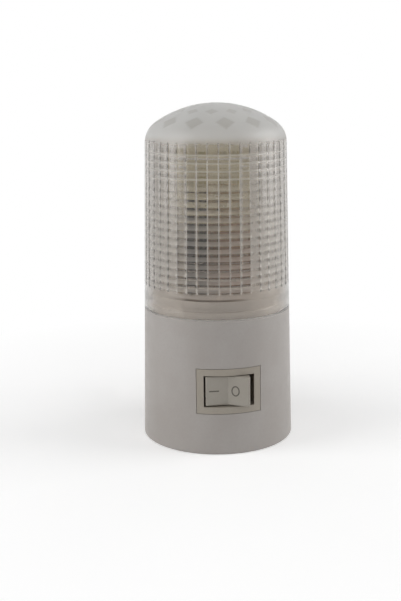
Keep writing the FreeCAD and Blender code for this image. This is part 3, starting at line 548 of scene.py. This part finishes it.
def lens_inner_rows():
    """Rows of (radius, bulge, height, kind) for the inside, from the foot up to the axis."""
    rows = [(radius_at(FOOT) - WALL, 0.0, FOOT, "plain")]
    for offset, depth in ((-SNAP_SLOPE, 0), (-1.0, 1), (1.0, 1), (SNAP_SLOPE, 0)):
        h = SNAP_HEIGHT + offset * SNAP_HALF
        rows.append((radius_at(h) - WALL, depth * SNAP_DEPTH, h, "plain"))
    rows.append((radius_at(PRISM_START) - WALL, 0.0, PRISM_START, "plain"))
    for step in range(1, RING_COUNT * ROWS_PER_RING + 1):
        h = PRISM_START + step * RING_PITCH / ROWS_PER_RING
        place = step % ROWS_PER_RING
        t = place / ROWS_PER_RING * 2 - 1
        bulge = RING_DEPTH * (1 - t * t) if place else 0.0
        kind = "rib"
        if place in (0, ROWS_PER_RING - 1):
            kind = "valley"
        # the crests of the top rings carry a painted highlight
        elif step > (RING_COUNT - HIGHLIGHT_RINGS) * ROWS_PER_RING:
            kind = "painted_highlight" if place == ROWS_PER_RING // 2 else "plain"
        rows.append((radius_at(h) - WALL, bulge, h, kind))
    return rows + [(r, 0.0, h, "plain") for r, h in dome_profile(WALL, INNER_DOME_ROWS)]


def wall_frost(height, away, aside):
    """The frost along one row of the outside, below the dome: a milky foot, and grooves with a painted
    highlight over the face and painted shade beside it.
    """
    if height < FOOT + FOOT_EDGE:
        return np.full(len(away), FOOT_FROST)
    if height < NECK_TOP:
        return np.full(len(away), SKIRT_FROST)
    if height < PRISM_START:
        return np.zeros(len(away))
    if height < RING_TOP - RING_PITCH / 2:
        # over the face the grooves are frost with a painted highlight, beside it they get painted shade
        pale = groove_line(away, LINE_HALF) * GROOVE_HIGHLIGHT_FROST * (1 - aside)
        return pale + groove_line(away, SHADE_HALF) * GROOVE_SHADE * aside
    # above the rings the grooves get painted shade all round
    return GROOVE_SHADE * groove_line(away, LINE_HALF)


def dome_frost(height, away, inside):
    """The frost along one row of the dome, which the grooves' painted shade reaches into."""
    rising = smooth_step((height - DOME_FROST_START) / DOME_FROST_FADE)
    frost = DOME_FROST * (1 - DIAMOND_CLEARED * inside) * rising
    return frost + groove_line(away, LINE_HALF) * GROOVE_SHADE * (height < FLUTE_END)


def inner_frost(kind, height, aside, line):
    """The frost along one row of the inside: cloudy ribs, a painted highlight on the top rings' crests,
    and painted shade in the valleys at grooves and low down.
    """
    if kind == "plain":
        return np.zeros(len(aside))
    # the top rings' crests: frost with a painted highlight
    if kind == "painted_highlight":
        return np.full(len(aside), RING_HIGHLIGHT_FROST)
    low = float(smooth_step((CLOUD_TOP - height) / CLOUD_FADE))
    cloud = RIB_FROST_HIGH + (RIB_FROST - RIB_FROST_HIGH) * low
    if kind == "rib":
        return np.full(len(aside), cloud)
    # the valleys: painted shade at the grooves beside the face, and low down over the face
    dark = VALLEY_SHADE_FACE * float(smooth_step((SHADE_TOP - height) / SHADE_FADE))
    return aside * (cloud * (1 - line) + VALLEY_SHADE * line) + (1 - aside) * dark


def lens_row(radii, angle, height):
    x = radii * np.sin(angle)
    y = AXIS_Y - radii * np.cos(angle)
    return np.stack([x, y, np.full(len(angle), UNDERSIDE + height)], 1)


def lens_sheets():
    """The lens's rows of points with their frost and diamonds, down the inside and up the outside."""
    degrees, low, high = lens_angles()
    angle = np.radians(degrees)
    plain = np.zeros(len(angle))
    aside = beside_face(degrees)
    rows = lens_outer_rows()
    marks = diamond_marks(rows)
    outer = []
    for radius, height, along in rows[:-1]:
        away = groove_distance(degrees, low, high, radius)
        relief = flute_relief(away, height)
        inside = plain
        if along is None:
            frost = wall_frost(height, away, aside)
        else:
            depth, inside = diamond_relief(degrees, radius, along, marks)
            relief = relief + depth
            frost = dome_frost(height, away, inside)
        outer.append((lens_row(cut_flat(radius - relief, angle, 0.0), angle, height), frost, inside))
    inner = []
    for radius, bulge, height, kind in lens_inner_rows()[:-1]:
        r = cut_flat(radius - bulge * (1 - RIB_LOWERED * aside), angle, WALL)
        line = groove_line(groove_distance(degrees, low, high, radius), DASH_HALF)
        inner.append((lens_row(r, angle, height), inner_frost(kind, height, aside, line), plain))
    return inner[::-1] + outer


def lens_faces(rows, count):
    """Faces between rows of count points, with one point before the first row and one after the last."""
    last = 1 + (rows - 1) * count
    faces = []
    for k in range(count):
        after = (k + 1) % count
        faces.append((0, 1 + after, 1 + k))
        for row in range(rows - 1):
            here = 1 + row * count
            above = here + count
            faces.append((here + k, here + after, above + after, above + k))
        faces.append((last + k, last + after, last + count))
    return faces


def lens_mesh():
    points = [(0.0, AXIS_Y, APEX - WALL)]
    frosts = [0.0]
    marked = [0.0]
    sheets = lens_sheets()
    for row, frost, inside in sheets:
        points += [tuple(p) for p in row]
        frosts += list(frost)
        marked += list(inside)
    points.append((0.0, AXIS_Y, APEX))
    frosts.append(DOME_FROST)
    marked.append(0.0)
    mesh = bpy.data.meshes.new("lens_shell")
    mesh.from_pydata(points, [], lens_faces(len(sheets), len(sheets[0][0])))
    mesh.attributes.new("frost", "FLOAT", "POINT").data.foreach_set("value", frosts)
    mesh.attributes.new("diamond", "FLOAT", "POINT").data.foreach_set("value", marked)
    mesh.shade_smooth()
    mesh.set_sharp_from_angle(angle=math.radians(SHARP_ANGLE))
    return mesh


def dash_pattern(tree):
    """Where the painted shade falls in dashes: 1 at the ribs' valleys and above the top rib, and less at
    the ribs' crests.
    """
    height = split(tree, place_input(tree))["Z"]
    up = calculate(tree, "SUBTRACT", height, UNDERSIDE + PRISM_START)
    in_rib = calculate(tree, "FLOORED_MODULO", up, RING_PITCH)
    from_crest = calculate(tree, "ABSOLUTE", calculate(tree, "SUBTRACT", in_rib, RING_PITCH / 2))
    valley = remap(tree, from_crest, CREST_SHADE, 1.0, RING_PITCH * DASH_NEAR, RING_PITCH * DASH_FAR)
    top = UNDERSIDE + RING_TOP
    above = remap(tree, height, 0.0, 1.0, top - DASH_TOP_FADE, top)
    return calculate(tree, "MAXIMUM", valley, above)


def clear_plastic():
    """Clear plastic, frosted, milky or given painted shade where the mesh says, that lets lamps light what
    it covers.
    """
    material, tree, shader, output = new_material("clear_lens")
    shader.inputs["IOR"].default_value = LENS_IOR
    tint = linear(*LENS_TINT)
    frost = attribute(tree, "frost")
    # frost below 0 is painted shade, laid on in dashes along the ribs
    dark = remap(tree, frost, 1.0, 0.0, -1.0, 0.0)
    dashed = calculate(tree, "MULTIPLY", dark, dash_pattern(tree))
    shaded = blend_colours(tree, dashed, tint, linear(*LENS_SHADE))
    cloudy = blend_colours(tree, attribute(tree, "diamond"), linear(*LENS_MILKY), linear(*LENS_POCKET))
    # high frost turns milky; on the pale grooves and the top rings' crests this milky colour is a painted
    # highlight
    milk = remap(tree, frost, 0.0, 1.0, MILK_START, MILK_FULL)
    tree.links.new(blend_colours(tree, milk, shaded, cloudy), shader.inputs["Base Color"])
    rough = remap(tree, frost, POLISHED, MATT, 0.0, 1.0)
    uneven = remap(tree, noise(tree, LENS_HAZE, 3.0), -0.03, 0.04)
    tree.links.new(calculate(tree, "ADD", rough, uneven), shader.inputs["Roughness"])
    clear = remap(tree, frost, 1.0, FROSTED_TRANSMISSION, 0.0, 1.0)
    tree.links.new(clear, shader.inputs["Transmission Weight"])
    bump(tree, shader, noise(tree, LENS_WAVE, 2.0), 0.08, LENS_WAVE_DEPTH)
    through = tree.nodes.new("ShaderNodeBsdfTransparent")
    through.inputs["Color"].default_value = [c ** 0.5 for c in tint[:3]] + [1.0]
    shadow = tree.nodes.new("ShaderNodeLightPath").outputs["Is Shadow Ray"]
    mix_shaders(tree, shadow, shader.outputs["BSDF"], through.outputs["BSDF"], output)
    return material


def add_lens():
    mesh = lens_mesh()
    mesh.materials.append(clear_plastic())
    lens = place_in_scene("lens_shell", mesh)
    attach(lens, "lamp")
    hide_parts("lens_cover")


# Materials of the CAD pieces


def deck_painted_shade(tree, plain):
    """Painted brown shade over the rim of the deck's top, in front of the circuit board."""
    x = split(tree, place_input(tree))["X"]
    facing = split(tree, tree.nodes.new("ShaderNodeNewGeometry").outputs["True Normal"])["Z"]
    top = remap(tree, facing, 0.0, 1.0, 0.7, 0.9)
    aside = calculate(tree, "ABSOLUTE", calculate(tree, "ADD", x, DECK_SHADE_X))
    near = remap(tree, aside, 1.0, 0.0, DECK_SHADE_HALF, DECK_SHADE_OUTER_HALF)
    out = distance_from(tree, (0.0, AXIS_Y, deck_high.z))
    rim = remap(tree, out, 0.0, 1.0, DECK_SHADE_INSIDE, DECK_SHADE_OUTSIDE)
    amount = calculate(tree, "MULTIPLY", calculate(tree, "MULTIPLY", top, near), rim)
    return blend_colours(tree, amount, plain, linear(*DECK_SHADE_COLOUR))


def board_material():
    """Pressed paper laminate: olive lacquer above, bare brown below, with the paper's own fibres."""
    material, tree, shader, _ = new_material("board_laminate")
    fibre = remap(tree, noise(tree, FIBRE_SIZE, 4.0, 0.6, FIBRE_STRETCH), 0.0, 1.0)
    olive = blend_colours(tree, fibre, linear(224, 217, 193), linear(212, 205, 181))
    brown = blend_colours(tree, fibre, linear(196, 179, 156), linear(184, 167, 144))
    height = split(tree, place_input(tree))["Z"]
    up = remap(tree, height, 0.0, 1.0, UNDERSIDE + LACQUER_START, UNDERSIDE + LACQUER_FULL)
    tree.links.new(blend_colours(tree, up, brown, olive), shader.inputs["Base Color"])
    gloss = remap(tree, noise(tree, LACQUER_SHEEN, 3.0), 0.3, 0.5)
    tree.links.new(gloss, shader.inputs["Roughness"])
    bump(tree, shader, fibre, 0.2, FIBRE_DEPTH)
    return material


def dress(material, *names):
    """Gives CAD pieces a material in place of the frame's plain one."""
    for name in names:
        for item in nodes[name].material_slots:
            item.material = material


def dress_base():
    dress(moulded("base_plastic", (165, 160, 156), (159, 153, 148)), "front_shell", "rear_cover")
    # the deck's top carries painted brown shade in front of the circuit board
    dress(moulded("deck_plastic", (232, 227, 223), (225, 220, 215), painted_shade=deck_painted_shade), "lamp_deck")
    dress(moulded("sleeve_plastic", (186, 184, 180), (178, 175, 170), 0.4), "pin_sleeves")
    nickel = metal("nickel", (206, 200, 188), (190, 183, 170), 0.2, (1.0, 0.15, 1.0))
    dress(nickel, "plug_pin_live", "plug_pin_neutral")
    zinc = metal("zinc", (176, 178, 180), (158, 160, 164), 0.32)
    dress(zinc, "cover_screws", "pin_retainers", "plunger_spring")


def dress_switch():
    frame_plastic = moulded("frame_plastic", (158, 151, 140), (151, 143, 131), 0.36)
    dress(frame_plastic, "switch_housing", "switch_base")
    dress(moulded("rocker_plastic", (157, 152, 143), (150, 144, 134), 0.34), "rocker")
    dress(moulded("plunger_plastic", (200, 198, 192), (190, 187, 180)), "plunger")
    dress(moulded("mark_paint", (98, 93, 86), (88, 83, 76), 0.6), "rocker_marks")
    brass = metal("brass_strip", (208, 174, 102), (186, 150, 84), 0.28)
    dress(brass, "pin_terminals", "contact_lever", "centre_terminal", "end_terminal")
    silver = metal("silver_contact", (222, 220, 214), (204, 202, 196), 0.24)
    dress(silver, "moving_contact", "fixed_contact")


def dress_board():
    dress(board_material(), "circuit_board")
    dress(metal("tinned_wire", (192, 192, 188), (170, 170, 168), 0.3), "component_leads")
    dress(moulded("led_plastic", (190, 186, 166), (182, 178, 158), 0.35), "led_bodies")
    dress(moulded("led_resin", (178, 168, 112), (168, 158, 100), 0.25), "led_windows")
    dress(moulded("film_resin", (168, 142, 124), (154, 128, 110), 0.22), "film_capacitor")
    dress(moulded("elco_sleeve", (42, 32, 23), (34, 26, 18), 0.4), "electrolytic_capacitor")
    lacquer = moulded("resistor_lacquer", (172, 146, 104), (158, 130, 90), 0.3)
    dress(lacquer, "series_resistor", "bleed_resistor")
    dress(moulded("bridge_epoxy", (40, 40, 42), (32, 32, 34), 0.5), "bridge_rectifier")


def dress_leads():
    colours = {"live_lead": (112, 66, 42), "switched_lead": (48, 48, 50), "neutral_lead": (52, 78, 132)}
    for node, pale in colours.items():
        dull = [c * 0.88 for c in pale]
        dress(moulded(node + "_sleeve", pale, dull, 0.45), node)


# Floor, lamps and surroundings


def background_rays(tree):
    """1 for rays that show the background, straight or by way of metal or clear plastic, else 0."""
    path = tree.nodes.new("ShaderNodeLightPath").outputs
    seen = path["Is Camera Ray"]
    for ray in ("Is Glossy Ray", "Is Transmission Ray"):
        seen = calculate(tree, "MAXIMUM", seen, path[ray])
    return seen


def add_floor():
    """A white paper floor that looks plain white away from the lamp, without lighting it."""
    mesh = bpy.data.meshes.new("floor")
    corners = [(-1, -1), (1, -1), (1, 1), (-1, 1)]
    points = [(x * FLOOR_HALF, y * FLOOR_HALF, UNDERSIDE) for x, y in corners]
    mesh.from_pydata(points, [], [(0, 1, 2, 3)])
    material, tree, shader, output = new_material("floor_paper")
    tone = remap(tree, noise(tree, FLOOR_PATCH, 2.0), 0.0, 1.0)
    paper = blend_colours(tree, tone, linear(250, 250, 250), linear(246, 246, 246))
    tree.links.new(paper, shader.inputs["Base Color"])
    shader.inputs["Roughness"].default_value = 0.9
    shader.inputs["Emission Color"].default_value = WHITE
    seen = background_rays(tree)
    tree.links.new(remap(tree, seen, 0.0, FLOOR_GLOW, 0.0, 1.0), shader.inputs["Emission Strength"])
    white = tree.nodes.new("ShaderNodeEmission")
    out = distance_from(tree, (0.0, AXIS_Y, UNDERSIDE))
    far = remap(tree, out, 0.0, 1.0, FLOOR_FADE_START, FLOOR_FADE_END)
    fade = calculate(tree, "MULTIPLY", far, seen)
    mix_shaders(tree, fade, shader.outputs["BSDF"], white.outputs["Emission"], output)
    mesh.materials.append(material)
    place_in_scene("floor", mesh)


def add_lamp(name, place, size, power):
    """A soft lamp aimed at the middle of the object. Its size is in metres and its power in watts."""
    data = bpy.data.lights.new(name, "AREA")
    data.shape = "RECTANGLE"
    data.size, data.size_y = size
    data.energy = power
    lamp = place_in_scene(name, data)
    lamp.location = place
    target = Vector((0.0, AXIS_Y, UNDERSIDE + LAMP_AIM))
    lamp.rotation_euler = (target - Vector(place)).to_track_quat("-Z", "Y").to_euler()


def add_lamps():
    for name, side, power in (("left_lamp", -1, 1.08), ("right_lamp", 1, 1.06)):
        place = (side * SIDE_LAMP_OUT, AXIS_Y - SIDE_LAMP_FORWARD, SIDE_LAMP_HEIGHT)
        add_lamp(name, place, SIDE_LAMP_SIZE, power)
    add_lamp("front_lamp", place=(-0.05, AXIS_Y - 0.5, 0.42), size=(0.5, 0.4), power=0.42)


def add_world():
    world = bpy.data.worlds.new("studio")
    bpy.context.scene.world = world
    world.use_nodes = True
    tree = world.node_tree
    tree.nodes.clear()
    strength = remap(tree, background_rays(tree), WORLD_LIGHT, 1.0, 0.0, 1.0)
    background = tree.nodes.new("ShaderNodeBackground")
    background.inputs["Color"].default_value = WHITE
    tree.links.new(strength, background.inputs["Strength"])
    output = tree.nodes.new("ShaderNodeOutputWorld")
    tree.links.new(background.outputs["Background"], output.inputs["Surface"])


add_camera()
add_floor()
add_lamps()
add_world()
bpy.context.scene.view_settings.view_transform = "Standard"
dress_base()
dress_switch()
dress_board()
dress_leads()
add_lens()
